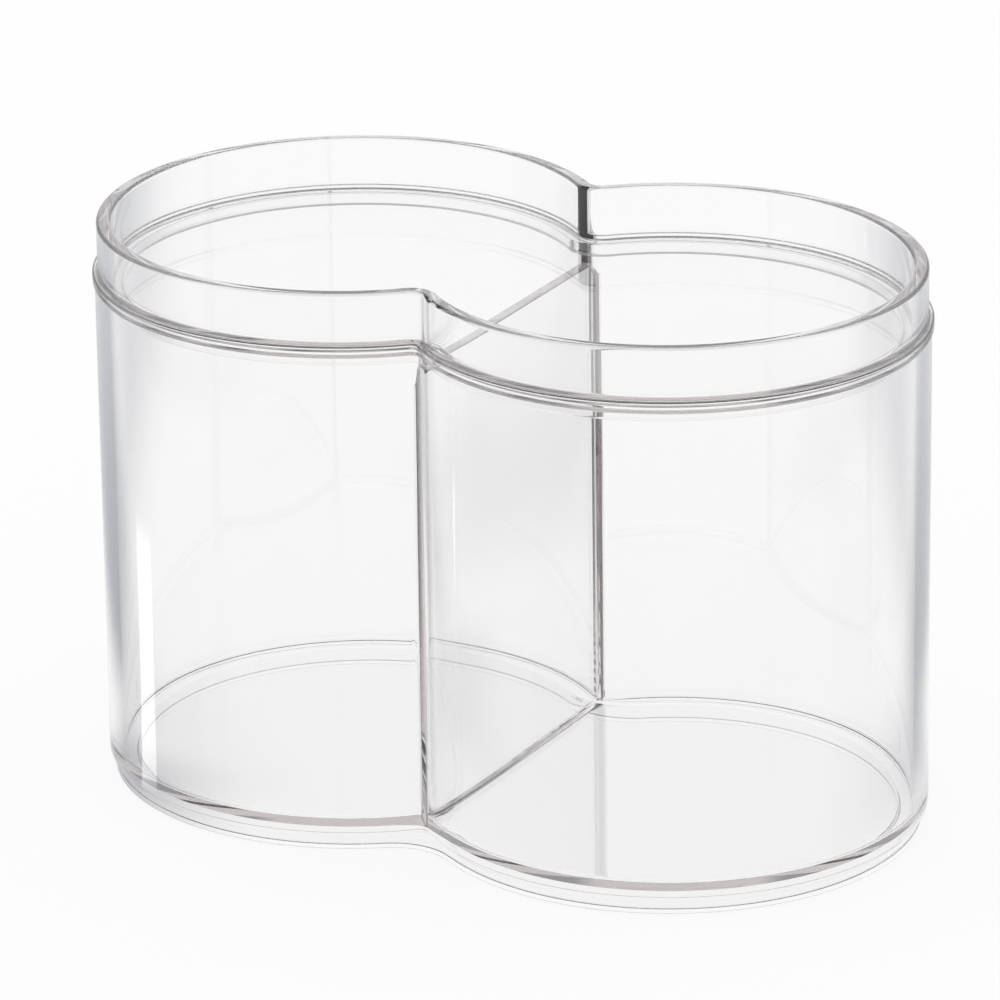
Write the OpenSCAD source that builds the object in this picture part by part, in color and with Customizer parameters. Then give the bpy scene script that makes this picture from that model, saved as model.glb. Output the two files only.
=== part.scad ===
// Clear two-lobed cosmetic canister: a divided body on a plinth, and a lift-off lid with a tray top.
// Millimetres, +Z up. The origin is the middle of the footprint, on the surface it stands on.
// Seen from above every piece follows one plan: two overlapping circles along X, with a small
// concave fillet at each waist. The outlines of the wall and the lid are steps in or out from the
// wall's outer face, so these pieces stay parallel all the way round. The plinth has its own,
// wider fillet.

/* [Plan] */
// Outer radius of each lobe of the body wall
lobe_r = 48.6; // [44:0.1:60]
// Distance between the centres of the two lobes
lobe_spacing = 67; // [60:0.5:76]
// Radius of the concave fillet at each waist, on the wall's outer face
waist_r = 1.9; // [1.4:0.1:4]

/* [Body] */
// Height of the seam between body and lid above the surface
body_h = 98; // [60:0.5:160]
// Thickness of the body wall
wall = 2.8; // [2:0.1:4]
// Rounding of the wall's lower outer edge
wall_edge = 0.5; // [0.2:0.1:0.8]
// Thickness of the floor
floor_t = 2.1; // [1.5:0.1:4]
// Joint line left between bonded pieces that stand side by side
bond_gap = 0.05; // [0.02:0.01:0.1]

/* [Plinth] */
// Height of the plinth under the wall and the floor
plinth_h = 3.7; // [2.5:0.1:8]
// Distance that the plinth stands in from the wall's outer face
plinth_inset = 1.1; // [0.5:0.1:1.5]
// Thickness of the plinth's ring
plinth_t = 4.5; // [4:0.1:8]
// Radius of the plinth's concave fillet at each waist
plinth_waist_r = 12; // [8:0.5:14]
// Rounding of the plinth's lower edges
plinth_edge = 0.5; // [0.2:0.1:1]

/* [Divider] */
// Thickness of the divider between the two compartments
divider_t = 2.4; // [1.5:0.1:4]
// Distance from the seam down to the divider's top edge
divider_drop = 4; // [3.4:0.1:20]
// Size of the cut at each top corner of the divider
divider_corner = 2; // [0.5:0.1:5]

/* [Lid] */
// Thickness of the lid plate and of the flange round it
lid_t = 2; // [1.5:0.1:4]
// Distance that the lid's flange stands out past the wall
lid_overhang = 0.4; // [0.2:0.1:0.8]
// Rounding of the flange's outer edges
lid_edge = 0.4; // [0.2:0.1:0.7]
// Height of the raised rim above the lid plate
rim_h = 10; // [5:0.5:30]
// Distance that the rim stands in from the wall's outer face
rim_inset = 0.6; // [0:0.1:3]
// Thickness of the rim
rim_t = 2.8; // [2:0.1:4]
// Rounding of the rim's top edges
rim_edge = 0.7; // [0.3:0.1:0.9]

/* [Locating ring] */
// Depth that the ring under the lid reaches into the body
ring_h = 2.5; // [1.5:0.1:3]
// Thickness of the ring
ring_t = 2; // [1.5:0.1:3]
// Clearance between the ring and the inside of the wall
ring_gap = 0.35; // [0.3:0.05:0.6]
// Rounding of the ring's lower outer edge, which leads it into the body
ring_edge = 0.6; // [0.2:0.1:1]

/* [Hidden] */
$fn = 96;

clear_shell = [0.90, 0.93, 0.97, 0.45];
clear_edge = [0.70, 0.76, 0.84, 0.70];

// Length by which a cut runs past the face that it cuts
overrun = 0.5;
// Step to which the first part of a fillet's placement is rounded
fine_step = 0.001;

half_spacing = lobe_spacing / 2;
floor_z = plinth_h + floor_t;
divider_top_z = body_h - divider_drop;
tray_z = body_h + lid_t;

// Y of the centre of a waist fillet that touches both lobes
function fillet_y(r, waist) = sqrt(pow(r + waist, 2) - pow(half_spacing, 2));

// Places its children at the two waist fillets' centres. Each move is a round length and then the
// small rest, which keeps enough digits for the fillets to meet the lobes without a step.
module at_waists(y) {
    coarse = round(y / fine_step) * fine_step;
    for (side = [-1, 1]) {
        translate([0, side * coarse, 0]) translate([0, side * (y - coarse), 0]) children();
    }
}

// Places its children at the two lobes' centres
module at_lobes() {
    for (side = [-1, 1]) {
        translate([side * half_spacing, 0, 0]) children();
    }
}

// What rounding takes off a square corner at x and z, turned 0 for the corner at the top right
module corner_waste(e, x, z, turn) {
    if (e > 0) {
        translate([x, z]) rotate(turn) translate([-e, -e])
            difference() {
                square(e + overrun);
                circle(e);
            }
    }
}

// Section of a band, with X as the distance in from the outline that it is swept along. Its edges
// are rounded by [outer low, outer high, inner low, inner high].
module band_section(inset, t, z0, z1, edges) {
    difference() {
        translate([inset, z0]) square([t, z1 - z0]);
        corner_waste(edges[0], inset, z0, 180);
        corner_waste(edges[1], inset, z1, 90);
        corner_waste(edges[2], inset + t, z0, 270);
        corner_waste(edges[3], inset + t, z1, 0);
    }
}

// Rhombus between the lobes' centres and the fillets' centres. A lobe and a fillet that touch do
// so on its sides, and every step in or out from them does too.
module waist_rhombus(y) {
    polygon([[half_spacing, 0], [0, y], [-half_spacing, 0], [0, -y]]);
}

module waist_prism(y, z0, z1) {
    translate([0, 0, z0]) linear_extrude(z1 - z0) waist_rhombus(y);
}

// All that lies on the other lobe's side of the middle, as far as a lobe of radius r can reach
module beyond_middle(side, r, z0, z1) {
    translate([-side * r, 0, (z0 + z1) / 2]) cube([2 * r, 4 * r, z1 - z0], center = true);
}

// Sweeps a band section along the plan's outline: round each lobe on its own side and outside the
// rhombus, and round the waist fillets inside it
module along_plan(r, waist, z0, z1) {
    y = fillet_y(r, waist);
    for (side = [-1, 1]) {
        difference() {
            translate([side * half_spacing, 0, 0])
                rotate_extrude() translate([r, 0]) mirror([1, 0]) children();
            waist_prism(y, z0 - overrun, z1 + overrun);
            beyond_middle(side, r, z0 - overrun, z1 + overrun);
        }
    }
    intersection() {
        at_waists(y) rotate_extrude() translate([waist, 0]) children();
        waist_prism(y, z0 - overrun, z1 + overrun);
    }
}

// The plan filled in, for a plate: the lobes, and the rhombus between them with the waists cut out
module lobed_outline(r, waist) {
    y = fillet_y(r, waist);
    at_lobes() circle(r);
    difference() {
        waist_rhombus(y);
        at_waists(y) circle(waist);
    }
}

// Plate from z0 to z1 that fits inside a band whose inner face is at this inset
module inner_plate(inset, z0, z1) {
    step_in = inset + bond_gap;
    translate([0, 0, z0])
        linear_extrude(z1 - z0)
            lobed_outline(lobe_r - step_in, waist_r + step_in);
}

// Tube that is the body of both compartments
module body_wall() {
    color(clear_shell)
        along_plan(lobe_r, waist_r, plinth_h, body_h)
            band_section(0, wall, plinth_h, body_h, [wall_edge, 0, 0, 0]);
}

// Floor of both compartments, set inside the wall on the plinth
module base_plate() {
    color(clear_edge) inner_plate(wall, plinth_h, floor_z);
}

// Ring that the canister stands on, under the wall and the floor's edge
module plinth_ring() {
    color(clear_edge)
        along_plan(lobe_r - plinth_inset, plinth_waist_r, 0, plinth_h)
            band_section(0, plinth_t, 0, plinth_h, [plinth_edge, 0, plinth_edge, 0]);
}

// Upright sheet from waist to waist, hollowed at its ends to fit the wall
module divider() {
    hollow_r = waist_r + wall + bond_gap;
    hollow_y = fillet_y(lobe_r, waist_r);
    color(clear_shell)
        difference() {
            translate([-divider_t / 2, -hollow_y, floor_z])
                cube([divider_t, 2 * hollow_y, divider_top_z - floor_z]);
            at_waists(hollow_y)
                translate([0, 0, floor_z - overrun])
                    cylinder(r = hollow_r, h = divider_top_z - floor_z + 2 * overrun);
            for (side = [0, 1]) {
                mirror([0, side, 0]) divider_corner_cut(hollow_y - hollow_r);
            }
        }
}

// Wedge that takes off the divider's top corner at end_y, with room on both sides of the sheet
module divider_corner_cut(end_y) {
    reach = divider_t;
    rotate([90, 0, 90])
        linear_extrude(2 * divider_t, center = true)
            polygon([
                [end_y - divider_corner - reach, divider_top_z + reach],
                [end_y + reach, divider_top_z + reach],
                [end_y + reach, divider_top_z - divider_corner - reach]
            ]);
}

// Flat plate that closes the body and is the tray's floor, set inside the rim
module lid_plate() {
    color(clear_edge) inner_plate(rim_inset + rim_t, body_h, tray_z);
}

// Raised wall round the tray, with the flange at its foot that rests on the body's wall
module lid_rim() {
    flange_t = lid_overhang + rim_inset + rim_t;
    color(clear_shell)
        along_plan(lobe_r, waist_r, body_h, tray_z + rim_h) {
            band_section(rim_inset, rim_t, tray_z, tray_z + rim_h, [0, rim_edge, 0, rim_edge]);
            band_section(-lid_overhang, flange_t, body_h, tray_z, [lid_edge, lid_edge, 0, 0]);
        }
}

// Ring under the plate that drops inside the wall and keeps the lid in place
module locating_ring() {
    color(clear_edge)
        along_plan(lobe_r, waist_r, body_h - ring_h, body_h)
            band_section(wall + ring_gap, ring_t, body_h - ring_h, body_h, [ring_edge, 0, 0, 0]);
}

body_wall();
base_plate();
plinth_ring();
divider();
lid_plate();
lid_rim();
locating_ring();
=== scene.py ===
import bmesh
import bpy
import math
from mathutils import Matrix, Vector


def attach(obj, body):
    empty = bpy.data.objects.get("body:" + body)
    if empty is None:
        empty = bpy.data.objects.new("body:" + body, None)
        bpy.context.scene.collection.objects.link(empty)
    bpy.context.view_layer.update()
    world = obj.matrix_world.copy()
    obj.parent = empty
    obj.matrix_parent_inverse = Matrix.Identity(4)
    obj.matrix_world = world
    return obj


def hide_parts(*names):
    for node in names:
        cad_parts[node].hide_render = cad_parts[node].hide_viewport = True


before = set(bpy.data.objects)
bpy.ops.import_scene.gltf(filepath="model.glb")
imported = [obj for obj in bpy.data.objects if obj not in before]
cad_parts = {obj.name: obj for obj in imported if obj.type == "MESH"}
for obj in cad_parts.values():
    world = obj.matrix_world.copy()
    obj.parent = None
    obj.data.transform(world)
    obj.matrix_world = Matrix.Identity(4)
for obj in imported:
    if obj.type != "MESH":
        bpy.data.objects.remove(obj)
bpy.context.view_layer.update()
mm = 0.001
white = (1, 1, 1, 1)

plan = {                       # the two-lobed outline that every sweep follows
    "lobeRadius": 48.6 * mm,   # outer face of the body's wall
    "lobeSpacing": 67 * mm,
    "waistRadius": 1.9 * mm,   # fillet at each waist, on the wall's outer face
    "lobeSteps": 168,
    "waistSteps": 48,
    "weld": 0.002 * mm,
    "sharpAngle": 38,          # degrees between faces, above which their edge stays sharp
}


class Signal:                  # a node's output that can be used in sums
    def __init__(self, tree, socket=None):
        self.tree, self.socket = tree, socket

    def node(self, kind, settings=None, values=None, out=0):
        made = self.tree.nodes.new(kind)
        for name, value in (settings or {}).items():
            setattr(made, name, value)
        for key, value in (values or {}).items():
            if isinstance(value, Signal):
                self.tree.links.new(value.socket, made.inputs[key])
            else:
                made.inputs[key].default_value = value
        return Signal(self.tree, made.outputs[out] if len(made.outputs) else None)

    def maths(self, operation, other=0.0, turned=False):
        terms = (other, self) if turned else (self, other)
        return self.node("ShaderNodeMath", {"operation": operation}, dict(enumerate(terms)))

    def split(self):
        made = self.tree.nodes.new("ShaderNodeSeparateXYZ")
        self.tree.links.new(self.socket, made.inputs[0])
        return [Signal(self.tree, socket) for socket in made.outputs]

    def __add__(self, other): return self.maths("ADD", other)
    def __radd__(self, other): return self.maths("ADD", other)
    def __sub__(self, other): return self.maths("SUBTRACT", other)
    def __rsub__(self, other): return self.maths("SUBTRACT", other, True)
    def __mul__(self, other): return self.maths("MULTIPLY", other)
    def __truediv__(self, other): return self.maths("DIVIDE", other)
    def __mod__(self, other): return self.maths("FLOORED_MODULO", other)

    def ramp(self, low, high):     # 0 below low, 1 above high, smooth between
        return self.node("ShaderNodeMapRange", {"interpolation_type": "SMOOTHSTEP"},
                         {"Value": self, "From Min": low, "From Max": high})

    def blend(self, first, second):    # the first colour where this is 0, the second where it is 1
        return self.node("ShaderNodeMix", {"data_type": "RGBA"},
                         {"Factor": self, 6: first, 7: second}, out=2)


def emptied(owner):            # a material's or world's node tree, with nothing in it
    owner.use_nodes = True
    owner.node_tree.nodes.clear()
    return Signal(owner.node_tree)


def standing(name, data):      # a new object, put in the scene
    made = bpy.data.objects.new(name, data)
    bpy.context.scene.collection.objects.link(made)
    return made


plastic = {
    "refraction": 1.53,
    "tint": (0.995, 0.995, 0.997, 1),      # what each face lets through
    "paleTint": white,
    "depthTint": (0.54, 0.48, 0.47, 1),    # colour that long paths inside the plastic take
    "depthDensity": 11.0,                  # per metre
    "roughness": 0.004,
    "hazeRoughness": 0.02,                 # in the faint wiped patches
    "clearness": 0.992,                    # the rest is faint surface haze
    "cloudScale": 34.0, "cloudDetail": 3.0,
    "cloudFrom": 0.35, "cloudTo": 0.65,
    "wipeScale": 90.0, "wipeDetail": 5.0, "wipeGrain": 0.65,
    "wipeFrom": 0.52, "wipeTo": 0.75,
    "wave": 0.003, "waveDepth": 0.001,     # slow waviness of a moulded face
    "waveScale": 28.0, "waveDetail": 1.0,
}


def clearPlastic(name, spec, seed):        # the seed moves the clouds, wiped patches and waves
    material = bpy.data.materials.new(name)
    start = emptied(material)
    place = start.node("ShaderNodeTexCoord", out=3)
    place = start.node("ShaderNodeMapping", {}, {
        "Vector": place, "Location": (seed, 0.5 * seed, 0.2 * seed)})
    cloud = start.node("ShaderNodeTexNoise", {}, {
        "Vector": place, "Scale": spec["cloudScale"], "Detail": spec["cloudDetail"]})
    wiped = start.node("ShaderNodeTexNoise", {}, {
        "Vector": place, "Scale": spec["wipeScale"], "Detail": spec["wipeDetail"],
        "Roughness": spec["wipeGrain"]})
    wave = start.node("ShaderNodeTexNoise", {}, {
        "Vector": place, "Scale": spec["waveScale"], "Detail": spec["waveDetail"]})
    colour = cloud.ramp(spec["cloudFrom"], spec["cloudTo"]).blend(spec["tint"], spec["paleTint"])
    haze = wiped.ramp(spec["wipeFrom"], spec["wipeTo"])
    roughness = spec["roughness"] + haze * (spec["hazeRoughness"] - spec["roughness"])
    bump = start.node("ShaderNodeBump", {}, {
        "Height": wave, "Strength": spec["wave"], "Distance": spec["waveDepth"]})
    shader = start.node("ShaderNodeBsdfPrincipled", {}, {
        "Base Color": colour, "Roughness": roughness, "Normal": bump, "IOR": spec["refraction"],
        "Transmission Weight": spec["clearness"]})
    inside = start.node("ShaderNodeVolumeAbsorption", {}, {
        "Color": spec["depthTint"], "Density": spec["depthDensity"]})
    start.node("ShaderNodeOutputMaterial", {}, {"Surface": shader, "Volume": inside})
    return material


bodyPlastic = clearPlastic("clearBodyPlastic", plastic, 0.3)
lidPlastic = clearPlastic("clearLidPlastic", plastic, 1.7)
print("materials made")


def roundedSection(corners, steps, flank):
    # corners are (inset, height, rounding, reach) in millimetres; flank is how far from a rounding
    # the row is that keeps the flat face beside it flat
    rows = []
    for n, (inset, height, rounding, reach) in enumerate(corners):
        here = Vector((inset, height))
        turned = [here]
        if rounding:
            before = (Vector(corners[n - 1][:2]) - here).normalized()
            after = (Vector(corners[n + 1][:2]) - here).normalized()
            centre = here + (before + after) * rounding      # every corner is square
            turned = [here + before * (rounding + flank)]
            for step in range(steps + 1):
                turn = 0.5 * math.pi * step / steps
                turned.append(centre - after * rounding * math.cos(turn)
                              - before * rounding * math.sin(turn))
            turned.append(here + after * (rounding + flank))
        rows += [(x * mm, reach * mm, z * mm) for x, z in turned]
    return rows


def sectionMesh(name, rows):
    mesh = bpy.data.meshes.new(name)
    mesh.from_pydata(rows, [(n, n + 1) for n in range(len(rows) - 1)], [])
    return mesh


def lobedSweep(name):
    # Each section point is (inset from the wall's outer face, reach, height). Reach is the distance
    # between a lobe's centre and its fillet's centre, the same for every parallel step in or out.
    tree = bpy.data.node_groups.new(name, "GeometryNodeTree")
    face = tree.interface
    face.new_socket("Section", in_out="INPUT", socket_type="NodeSocketGeometry")
    for label, kind in (("Lobe radius", "Float"), ("Lobe spacing", "Float"), ("Lobe steps", "Int"),
                        ("Waist steps", "Int"), ("Material", "Material")):
        face.new_socket(label, in_out="INPUT", socket_type="NodeSocket" + kind)
    face.new_socket("Shell", in_out="OUTPUT", socket_type="NodeSocketGeometry")
    entry = tree.nodes.new("NodeGroupInput")
    section, radius, spacing, lobeSteps, waistSteps, finish = (
        Signal(tree, socket) for socket in entry.outputs[:6])
    start = Signal(tree)

    around = (lobeSteps + waistSteps) * 2
    rows = start.node("GeometryNodeAttributeDomainSize", {"component": "MESH"}, {"Geometry": section})
    index = start.node("GeometryNodeInputIndex")

    def placed(mesh, column, row):
        point = start.node("GeometryNodeSampleIndex", {"data_type": "FLOAT_VECTOR", "domain": "POINT"}, {
            "Geometry": section, "Value": start.node("GeometryNodeInputPosition"), "Index": row})
        inset, reach, height = point.split()
        half = spacing * 0.5
        lobe = radius - inset
        waist = reach - lobe
        lean = (half / reach).maths("ARCCOSINE")
        filletY = (reach * reach - half * half).maths("SQRT")
        step = column % (lobeSteps + waistSteps)
        turned = ((column % around) / (lobeSteps + waistSteps)).maths("FLOOR")
        onWaist = step.maths("GREATER_THAN", lobeSteps - 0.5)
        lobeTurn = (step / lobeSteps * 2.0 - 1.0) * (math.pi - lean)
        waistTurn = (step - lobeSteps) / waistSteps * (lean * 2.0 - math.pi) - lean
        lobeX = half + lobe * lobeTurn.maths("COSINE")
        lobeY = lobe * lobeTurn.maths("SINE")
        waistX = waist * waistTurn.maths("COSINE")
        waistY = filletY + waist * waistTurn.maths("SINE")
        side = 1.0 - turned * 2.0
        x = (lobeX + onWaist * (waistX - lobeX)) * side
        y = (lobeY + onWaist * (waistY - lobeY)) * side
        spot = start.node("ShaderNodeCombineXYZ", {}, {"X": x, "Y": y, "Z": height})
        return start.node("GeometryNodeSetPosition", {}, {"Geometry": mesh, "Position": spot})

    grid = start.node("GeometryNodeMeshGrid", {}, {"Vertices X": around + 1.0, "Vertices Y": rows})
    column = ((index + 0.5) / rows).maths("FLOOR")
    band = placed(grid, column, index - column * rows)
    disc = start.node("GeometryNodeMeshCircle", {"fill_type": "NGON"}, {"Vertices": around})
    upper = placed(disc, index, 0)
    lower = start.node("GeometryNodeFlipFaces", {}, {"Mesh": placed(disc, index, rows - 1.0)})
    joined = tree.nodes.new("GeometryNodeJoinGeometry")
    for piece in (band, upper, lower):
        tree.links.new(piece.socket, joined.inputs[0])
    closed = start.node("GeometryNodeMergeByDistance", {}, {
        "Geometry": Signal(tree, joined.outputs[0]), "Distance": plan["weld"]})
    real = start.node("GeometryNodeRealizeInstances", {}, {"Geometry": closed})
    painted = start.node("GeometryNodeSetMaterial", {}, {"Geometry": real, "Material": finish})
    leave = tree.nodes.new("NodeGroupOutput")
    tree.links.new(painted.socket, leave.inputs[0])
    return tree


def swept(name, tree, rows, material):
    base = standing(name, sectionMesh(name, rows))
    modifier = base.modifiers.new("sweep", "NODES")
    modifier.node_group = tree
    sizes = {"Lobe radius": plan["lobeRadius"], "Lobe spacing": plan["lobeSpacing"],
             "Lobe steps": plan["lobeSteps"], "Waist steps": plan["waistSteps"], "Material": material}
    for item in tree.interface.items_tree:
        if item.in_out == "INPUT" and item.name in sizes:
            modifier[item.identifier] = sizes[item.name]
    settled(base)
    shape = bmesh.new()        # the caps and the band are made apart, so they are turned the same way here
    shape.from_mesh(base.data)
    bmesh.ops.recalc_face_normals(shape, faces=shape.faces)
    if shape.calc_volume(signed=True) < 0:
        bmesh.ops.reverse_faces(shape, faces=shape.faces)
    shape.to_mesh(base.data)
    shape.free()
    return base


def settled(obj):              # the modifiers' result as the object's own plain mesh
    view = bpy.context.evaluated_depsgraph_get()
    mesh = bpy.data.meshes.new_from_object(obj.evaluated_get(view))
    obj.modifiers.clear()
    obj.data = mesh


def polished(obj):             # smooth across roundings, sharp where flat faces meet
    mesh = obj.data
    shape = bmesh.new()
    shape.from_mesh(mesh)
    volume = shape.calc_volume(signed=True)
    loose = sum(1 for edge in shape.edges if len(edge.link_faces) != 2)
    shape.free()
    mesh.shade_smooth()
    mesh.set_sharp_from_angle(angle=math.radians(plan["sharpAngle"]))
    weighting = obj.modifiers.new("weighting", "WEIGHTED_NORMAL")
    weighting.keep_sharp = True            # and large flat faces keep their own direction
    settled(obj)
    print(obj.name, len(obj.data.polygons), "faces,", loose, "open edges,", round(volume * 1e6, 2), "cm3")
    return obj


wallReach = (plan["lobeRadius"] + plan["waistRadius"]) / mm
sweepTree = lobedSweep("lobedSweep")

lid = {
    "top": 110, "floor": 100, "under": 98, "ringFoot": 95.5,
    "rimOuter": 0.6, "rimInner": 3.4, "flange": -0.4, "ringOuter": 3.15, "ringInner": 5.15,
    "rimEdge": 0.7, "rimRoot": 0.35, "flangeRoot": 0.2, "flangeEdge": 0.4,
    "ringRoot": 0.15, "ringEdge": 0.6, "ringInnerEdge": 0.15, "ringInnerRoot": 0.2,
    "steps": 6, "flank": 0.05, "capInset": 10,
}
lidSection = roundedSection([
    (lid["capInset"], lid["floor"], 0, wallReach),
    (lid["rimInner"], lid["floor"], lid["rimRoot"], wallReach),
    (lid["rimInner"], lid["top"], lid["rimEdge"], wallReach),
    (lid["rimOuter"], lid["top"], lid["rimEdge"], wallReach),
    (lid["rimOuter"], lid["floor"], lid["flangeRoot"], wallReach),
    (lid["flange"], lid["floor"], lid["flangeEdge"], wallReach),
    (lid["flange"], lid["under"], lid["flangeEdge"], wallReach),
    (lid["ringOuter"], lid["under"], lid["ringRoot"], wallReach),
    (lid["ringOuter"], lid["ringFoot"], lid["ringEdge"], wallReach),
    (lid["ringInner"], lid["ringFoot"], lid["ringInnerEdge"], wallReach),
    (lid["ringInner"], lid["under"], lid["ringInnerRoot"], wallReach),
    (lid["capInset"], lid["under"], 0, wallReach),
], lid["steps"], lid["flank"])
lidShell = polished(swept("lidShell", sweepTree, lidSection, lidPlastic))
print("lid made")

body = {
    "seam": 97.93,             # just under the lid, so that their faces don't touch
    "floorTop": 5.8, "floorUnder": 3.7, "wall": 2.8, "wallRoot": 1.0, "wallLip": 0.15,
    "wallEdge": 0.5, "footOuter": 1.1, "footInner": 5.6, "footEdge": 0.5,
    "footReach": 59.5,         # the foot's own, wider waist fillet
    "steps": 6, "flank": 0.05, "capInset": 10,
}
bodySection = roundedSection([
    (body["capInset"], body["floorTop"], 0, wallReach),
    (body["wall"], body["floorTop"], body["wallRoot"], wallReach),
    (body["wall"], body["seam"], body["wallLip"], wallReach),
    (0, body["seam"], body["wallLip"], wallReach),
    (0, body["floorUnder"], body["wallEdge"], wallReach),
    (body["footOuter"], body["floorUnder"], 0, body["footReach"]),
    (body["footOuter"], 0, body["footEdge"], body["footReach"]),
    (body["footInner"], 0, body["footEdge"], body["footReach"]),
    (body["footInner"], body["floorUnder"], 0, body["footReach"]),
    (body["capInset"], body["floorUnder"], 0, body["footReach"]),
], body["steps"], body["flank"])
bodyShell = swept("bodyShell", sweepTree, bodySection, bodyPlastic)

divider = {
    "thick": 2.4, "top": 94, "corner": 2, "edge": 0.3, "edgeSteps": 3,
    "sunk": 1.0,               # how far it and its roots run into the floor and the walls
    "endY": 33.09,             # the inside of the wall at the waist
    "root": 0.9, "waistRoot": 1.6, "rootSteps": 8,
    "rootDrop": 0.5,           # how far the waists' roots end below the cut corners
    "bite": 0.02,              # how far a root's ends run into the faces that it joins
    "slack": 0.01,             # room for rounding, when the top's edges are picked out
}


def extruded(points, along):    # a prism from its first face, in millimetres
    shape = bmesh.new()
    near = shape.faces.new([shape.verts.new(Vector(point) * mm) for point in points])
    grown = bmesh.ops.extrude_face_region(shape, geom=[near])["geom"]
    corners = [item for item in grown if isinstance(item, bmesh.types.BMVert)]
    bmesh.ops.translate(shape, vec=Vector(along) * mm, verts=corners)
    bmesh.ops.recalc_face_normals(shape, faces=shape.faces)
    return shape


def meshFrom(name, shape):
    mesh = bpy.data.meshes.new(name)
    shape.to_mesh(mesh)
    shape.free()
    return mesh


def arcTurns(first, last, steps):
    return [first + (last - first) * n / steps for n in range(steps + 1)]


def dividerSheet(spec):
    end, top, low = spec["endY"] + spec["sunk"], spec["top"], body["floorTop"] - spec["sunk"]
    cut = spec["corner"] + spec["sunk"]
    side = [(-end, low), (end, low), (end, top - cut),
            (end - cut, top), (cut - end, top), (-end, top - cut)]
    shape = extruded([(-0.5 * spec["thick"], y, z) for y, z in side], (spec["thick"], 0, 0))
    lowest = (top - cut - spec["slack"]) * mm
    rims = [edge for edge in shape.edges if all(vert.co.z > lowest for vert in edge.verts)
            and abs(edge.verts[0].co.x - edge.verts[1].co.x) < spec["slack"] * mm]
    bmesh.ops.bevel(shape, geom=rims, offset=spec["edge"] * mm, segments=spec["edgeSteps"],
                    profile=0.5, affect="EDGES")
    return meshFrom("dividerSheet", shape)


def floorRoot(spec):           # the hollow moulding line along the divider's foot, on both sides
    root, end, floorTop = spec["root"], spec["endY"] + spec["sunk"], body["floorTop"]
    middle = (0.5 * spec["thick"] + root - spec["bite"], floorTop + root - spec["bite"])
    right = [(middle[0], floorTop - spec["sunk"])]
    for turn in arcTurns(0, 0.5 * math.pi, spec["rootSteps"]):
        right.append((middle[0] - root * math.sin(turn), middle[1] - root * math.cos(turn)))
    outline = right + [(-x, z) for x, z in reversed(right)]
    return meshFrom("floorRoot", extruded([(x, -end, z) for x, z in outline], (0, 2 * end, 0)))


def waistRoot(spec, side):     # the same where the divider's end meets the wall at a waist
    root = spec["waistRoot"]
    inner = plan["waistRadius"] / mm + body["wall"]
    waistY = spec["endY"] + inner
    middle = Vector((0.5 * spec["thick"] + root - spec["bite"], 0))
    middle.y = waistY - math.sqrt((inner + root - spec["bite"]) ** 2 - middle.x ** 2)
    last = math.atan2(waistY - middle.y, -middle.x)
    right = [(middle.x + root * math.cos(turn), middle.y + root * math.sin(turn))
             for turn in arcTurns(math.pi, last, spec["rootSteps"])]
    right.append((right[-1][0], spec["endY"] + spec["sunk"]))
    outline = right + [(-x, y) for x, y in reversed(right)]
    low, high = body["floorTop"] - spec["sunk"], spec["top"] - spec["corner"] - spec["rootDrop"]
    return meshFrom("waistRoot", extruded([(x, side * y, low) for x, y in outline], (0, 0, high - low)))


for mesh in (dividerSheet(divider), floorRoot(divider), waistRoot(divider, -1), waistRoot(divider, 1)):
    mesh.materials.append(bodyPlastic)
    block = standing("block", mesh)
    union = bodyShell.modifiers.new("union", "BOOLEAN")
    union.operation, union.solver, union.object = "UNION", "MANIFOLD", block
    settled(bodyShell)
    bpy.data.objects.remove(block)
polished(bodyShell)
print("body made")

for piece, name, slot, nodes in (
        (bodyShell, "body", "clear_shell", ("body_wall", "base_plate", "plinth_ring", "divider")),
        (lidShell, "lid", "clear_lid", ("lid_plate", "lid_rim", "locating_ring"))):
    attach(piece, name)
    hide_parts(*nodes)

camera = {
    "azimuth": 28.7, "elevation": 20.51, "roll": -0.758,      # degrees
    "target": (-2.44 * mm, 0, 57.34 * mm), "distance": 1400 * mm,
    "lens": 267.2, "sensor": 36,
    "near": 0.05, "far": 60,
}


def viewAxes(spec):
    azimuth, elevation, roll = (math.radians(spec[k]) for k in ("azimuth", "elevation", "roll"))
    level = math.cos(elevation)
    back = Vector((math.sin(azimuth) * level, -math.cos(azimuth) * level, math.sin(elevation)))
    right = (-back).cross(Vector((0, 0, 1))).normalized()
    up = right.cross(-back)
    return (math.cos(roll) * right + math.sin(roll) * up,
            math.cos(roll) * up - math.sin(roll) * right, back)


eye = standing("camera", bpy.data.cameras.new("camera"))
bpy.context.scene.camera = eye
eye.data.lens = camera["lens"]
eye.data.sensor_width = camera["sensor"]
eye.data.clip_start, eye.data.clip_end = camera["near"], camera["far"]
right, up, back = viewAxes(camera)
eye.matrix_world = Matrix.Translation(Vector(camera["target"]) + back * camera["distance"]) @ \
    Matrix((right, up, back)).transposed().to_4x4()

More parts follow.
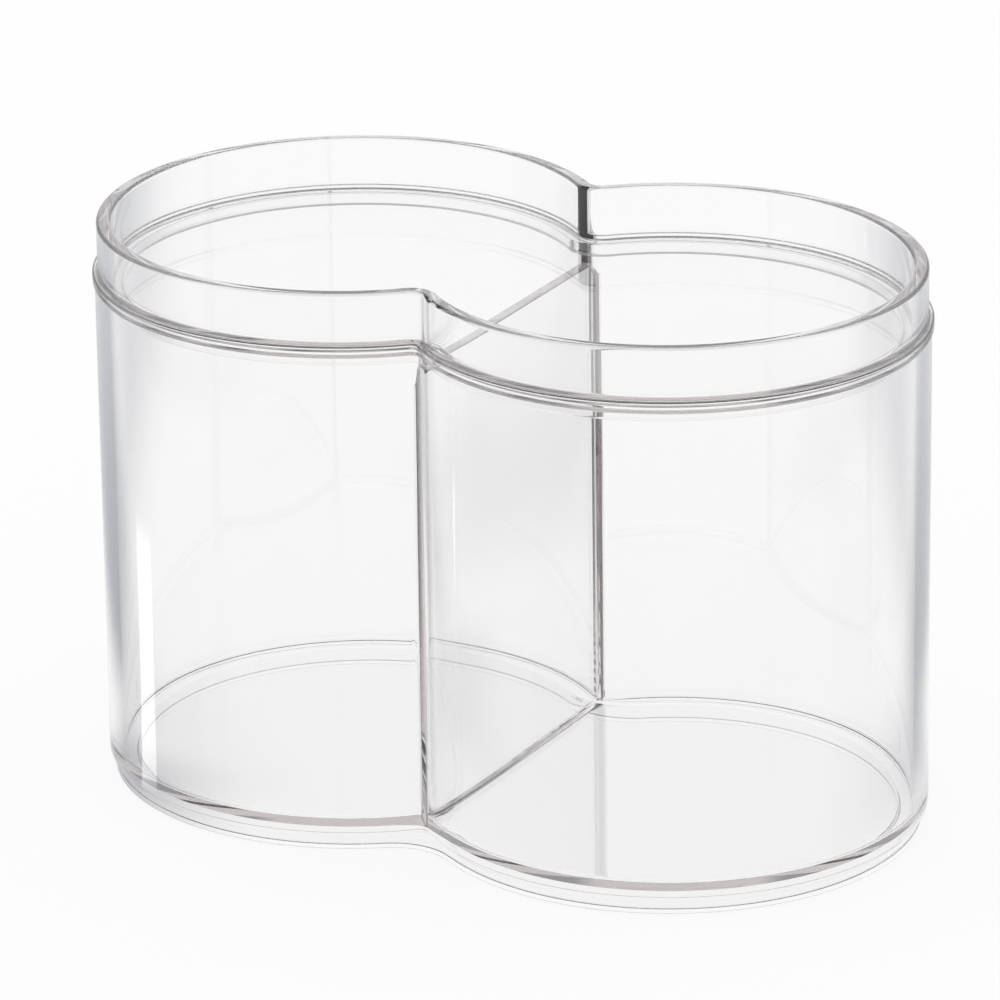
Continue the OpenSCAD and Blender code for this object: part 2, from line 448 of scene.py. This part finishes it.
studio = {
    "floorSize": 12.0,
    "floorColour": (0.93, 0.93, 0.93, 1),
    "floorGlow": 0.9,          # share of the floor that glows: plain white to the camera, painted light and shade in reflections and through the plastic
    "facing": 28.7,            # azimuth that the lights are arranged round
    "dimColour": (0.46, 0.47, 0.50, 1),    # the surroundings beside the bright backdrop
    "ceiling": (0.20, 0.19, 0.18, 1),
    "ceilingFrom": 0.50, "ceilingSoft": 0.12,
    "backWide": 0.20,          # half width of the bright backdrop, as a direction
    "backSoft": 0.10, "backRise": 0.3,
    "frontLight": 0.9,         # the light from the side that the object is seen from
    "frontSoft": 0.15,
    "tableWide": 0.085,        # half width of the bright strip of table behind the object
    "tableSoft": 0.04,
    "tableWaist": 0.026, "tableShift": 0.012,  # how much narrower the bright strip is beside the object, which paints shade there, and how far right
    "tableEnd": 0.115, "tableFlare": 0.6,      # bright again past a line that runs outwards from here
    "tableFront": -0.02,       # the table is bright in front of this line
    "tableEdge": 0.06,
    "paintedShadeNear": (0.40, 0.41, 0.44, 1),   # painted shade on the rest of the table, seen only in reflections and through the plastic, and what it pales to
    "paintedShadeFar": (0.72, 0.73, 0.76, 1),
    "farFrom": 0.05, "farTo": 0.35, "farShare": 0.75, "rightSoft": 0.05,
    "streakTurn": 22.0,        # degrees that the painted highlight strip on the left lies back
    "streakPlace": 0.0364, "streakWidth": 0.0025, "streakSpread": 0.11,
    "streakCore": 0.85,        # share of its half width inside its soft edge
    "streakFrom": 0.076, "streakFromSoft": 0.01, "streakTo": 0.19, "streakToSoft": 0.03,
    # painted highlight: how brightly the strip glows in mirror reflections
    "paintedHighlightGlow": (3.2, 3.2, 3.2, 1),
}


def studioAxes(start, spec, place):        # across, away from the side that the object is seen from, and up
    turned = start.node("ShaderNodeMapping", {"vector_type": "VECTOR"}, {
        "Vector": place, "Rotation": (0, 0, -math.radians(spec["facing"]))})
    return turned.split()


def rays(start, *kinds):
    path = start.tree.nodes.new("ShaderNodeLightPath")
    return [Signal(start.tree, path.outputs[kind]) for kind in kinds]


def studioWorld(spec):
    world = bpy.data.worlds.new("studio")
    bpy.context.scene.world = world
    start = emptied(world)
    seen, spread = rays(start, "Is Camera Ray", "Is Diffuse Ray")
    plain = seen.maths("MAXIMUM", spread)            # the camera and the floor's paper see plain white
    across, away, height = studioAxes(start, spec, start.node("ShaderNodeTexCoord"))
    side = across.maths("ABSOLUTE").ramp(spec["backWide"], spec["backWide"] + spec["backSoft"])
    backdrop = away.ramp(0.0, spec["backRise"]) * (1.0 - side)
    front = (away * -1.0).ramp(0.0, spec["frontSoft"]) * spec["frontLight"]
    colour = backdrop.maths("MAXIMUM", front).blend(spec["dimColour"], white)
    ceiling = height.ramp(spec["ceilingFrom"], spec["ceilingFrom"] + spec["ceilingSoft"])
    colour = plain.blend(ceiling.blend(colour, spec["ceiling"]), white)
    glow = start.node("ShaderNodeBackground", {}, {"Color": colour, "Strength": 1.0})
    start.node("ShaderNodeOutputWorld", {}, {"Surface": glow})


def paintedTableShading(spec, across, away):       # painted light and shade on the table, seen only in reflections and through the plastic: dim beside the object, bright behind it, in front and far out
    near = 1.0 - away.ramp(0.0, spec["tableSoft"])
    # painted shade: the bright strip narrows beside the object, so reflections see the table dimmer there
    reach = (across - near * spec["tableShift"]).maths("ABSOLUTE") + near * spec["tableWaist"]
    behind = 1.0 - reach.ramp(spec["tableWide"], spec["tableWide"] + spec["tableSoft"])
    beyond = across.maths("ABSOLUTE") - away.maths("MAXIMUM", 0.0) * spec["tableFlare"]
    beyond = beyond.ramp(spec["tableEnd"], spec["tableEnd"] + spec["tableSoft"])
    front = 1.0 - away.ramp(spec["tableFront"] - spec["tableEdge"], spec["tableFront"])
    pale = away.ramp(spec["farFrom"], spec["farTo"]) * spec["farShare"] \
        + across.ramp(-spec["rightSoft"], spec["rightSoft"]) * (1 - spec["farShare"])
    bright = behind.maths("MAXIMUM", beyond).maths("MAXIMUM", front)
    return bright.blend(pale.blend(spec["paintedShadeNear"], spec["paintedShadeFar"]), white)


def paintedHighlightStrip(spec, across, away):         # painted highlight: a glowing strip in the floor, seen only in mirror reflections, that widens as it runs out and back on the left
    turn, left = math.radians(spec["streakTurn"]), across * -1.0
    off = left * -math.sin(turn) + away * math.cos(turn) + spec["streakPlace"]
    width = spec["streakWidth"] + (left - spec["streakFrom"]) * spec["streakSpread"]
    core = 1.0 - (off.maths("ABSOLUTE") / width).ramp(spec["streakCore"], 1.0)
    begun = left.ramp(spec["streakFrom"], spec["streakFrom"] + spec["streakFromSoft"])
    ended = left.ramp(spec["streakTo"], spec["streakTo"] + spec["streakToSoft"])
    return core * begun * (1.0 - ended)


def studioFloor(spec):
    half = 0.5 * spec["floorSize"]
    mesh = bpy.data.meshes.new("floor")
    corners = [(-half, -half, 0), (half, -half, 0), (half, half, 0), (-half, half, 0)]
    mesh.from_pydata(corners, [], [(0, 1, 2, 3)])
    floor = standing("floor", mesh)
    material = bpy.data.materials.new("paleFloor")
    start = emptied(material)
    seen, mirrored, through = rays(start, "Is Camera Ray", "Is Glossy Ray", "Is Transmission Ray")
    looked = seen.maths("MAXIMUM", mirrored).maths("MAXIMUM", through)
    across, away = studioAxes(start, spec, start.node("ShaderNodeTexCoord", out=3))[:2]
    # painted highlight: the glowing strip shows only in mirror reflections, where it lays the bright
    # streaks on the left wall
    highlightStrip = paintedHighlightStrip(spec, across, away) * (1.0 - through)
    # painted light and shade: reflections and the view through the plastic see the table's painted dim and
    # bright zones
    colour = highlightStrip.blend(paintedTableShading(spec, across, away), spec["paintedHighlightGlow"])
    colour = seen.blend(colour, white)
    paper = start.node("ShaderNodeBsdfDiffuse", {}, {"Color": spec["floorColour"]})
    glow = start.node("ShaderNodeEmission", {}, {"Color": colour, "Strength": 1.0})
    mixed = start.node("ShaderNodeMixShader", {}, {"Fac": looked * spec["floorGlow"], 1: paper, 2: glow})
    start.node("ShaderNodeOutputMaterial", {}, {"Surface": mixed})
    mesh.materials.append(material)


studioWorld(studio)
studioFloor(studio)
scene = bpy.context.scene
scene.view_settings.view_transform = "Standard"
scene.cycles.max_bounces = 32
scene.cycles.transmission_bounces = 32
scene.cycles.glossy_bounces = 24
scene.cycles.diffuse_bounces = 3
print("studio made")
